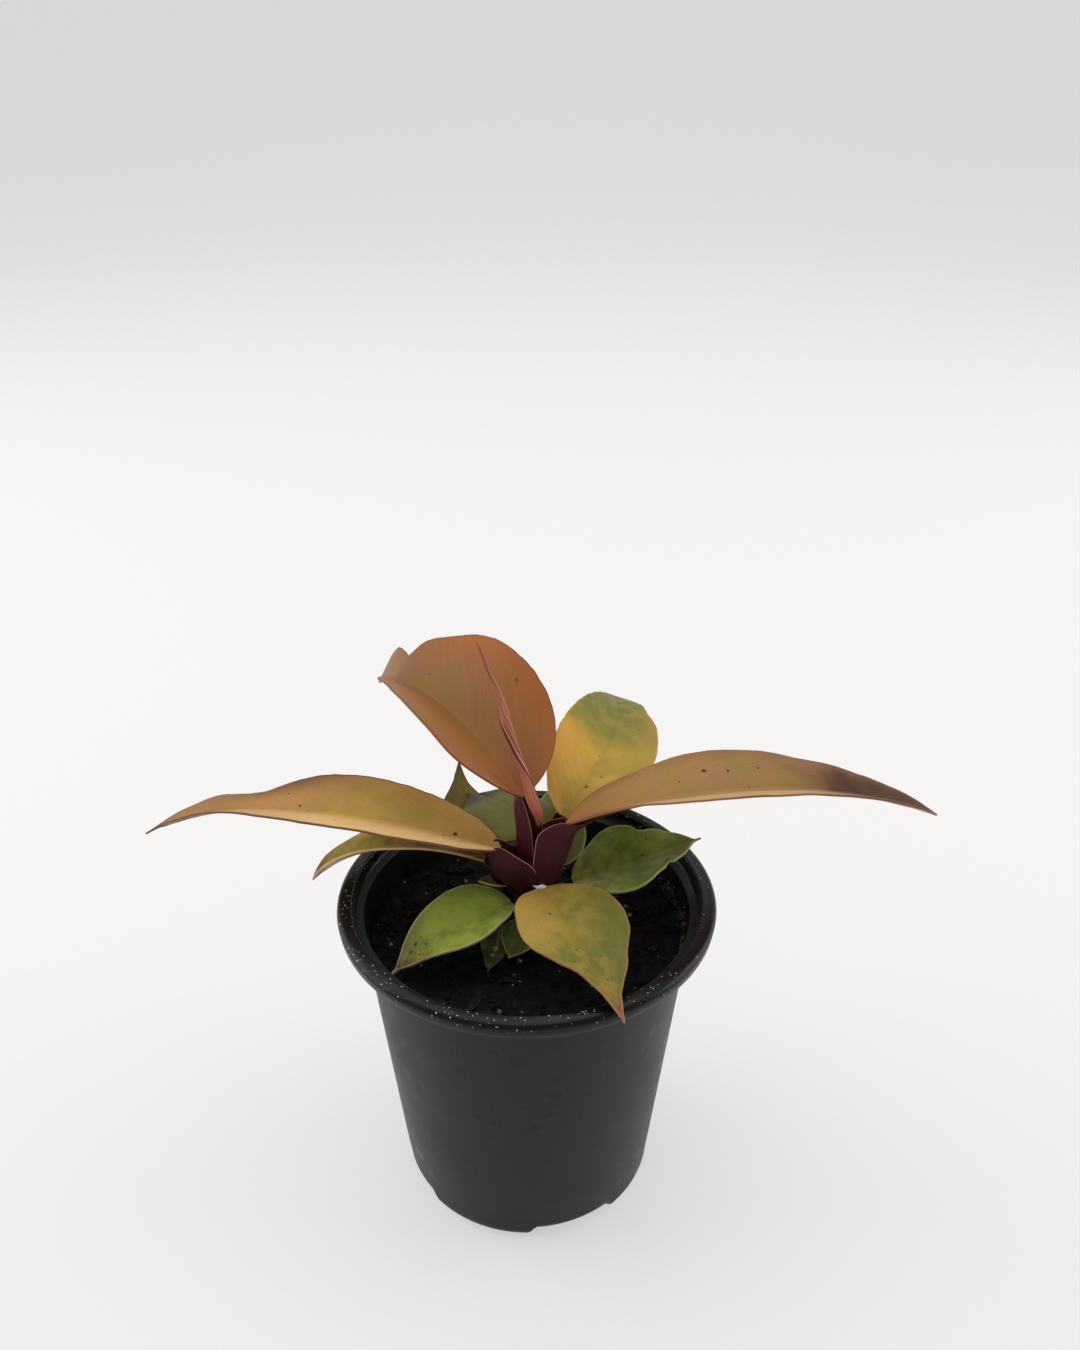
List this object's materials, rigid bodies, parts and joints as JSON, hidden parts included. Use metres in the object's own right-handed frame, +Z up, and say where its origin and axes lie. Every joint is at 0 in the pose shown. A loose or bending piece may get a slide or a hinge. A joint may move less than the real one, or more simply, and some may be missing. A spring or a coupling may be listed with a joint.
{
  "type": "potted philodendron",
  "caption": "Young potted philodendron: bronze, golden and green pointed leaves on burgundy stalks round one stem, in a round black nursery pot with a broad rim.",
  "frame": {"origin": "centre of the flat underside of the pot, on the surface that it stands on", "axes": "+Z up along the pot's axis, +X to the right and +Y to the back as the plant is seen from its front"},
  "size_m": [0.2604, 0.1522, 0.1844],
  "materials": {
    "pot_plastic": "satin black moulded plastic",
    "soil": "rough damp potting mix of bark, peat and perlite",
    "stalk": "smooth burgundy leaf stalks with paler margins",
    "rolled_leaf": "smooth salmon pink rolled leaf",
    "golden_leaf": "satin golden leaf with olive flush",
    "bronze_leaf": "satin bronze leaf with red brown tip",
    "copper_leaf": "satin copper brown leaf",
    "green_leaf": "satin green leaf with pale margin",
    "olive_leaf": "satin olive leaf with brown margin",
    "dark_leaf": "satin dark green leaf"
  },
  "bodies": {
    "root": {"pot": "pot_plastic", "soil": "soil", "stem": "stalk", "new_leaf": "rolled_leaf", "leaf_left": "golden_leaf", "leaf_right": "bronze_leaf", "leaf_top": "copper_leaf", "leaf_back_right": "golden_leaf", "leaf_low_right": "green_leaf", "leaf_front": "olive_leaf", "leaf_low_left": "green_leaf", "leaf_under_left": "olive_leaf", "leaf_back_left": "olive_leaf", "leaf_back": "green_leaf", "leaf_low_back": "green_leaf", "leaf_small_front": "dark_leaf", "leaf_small_low": "dark_leaf", "bract": "olive_leaf"}
  },
  "joints": []
}
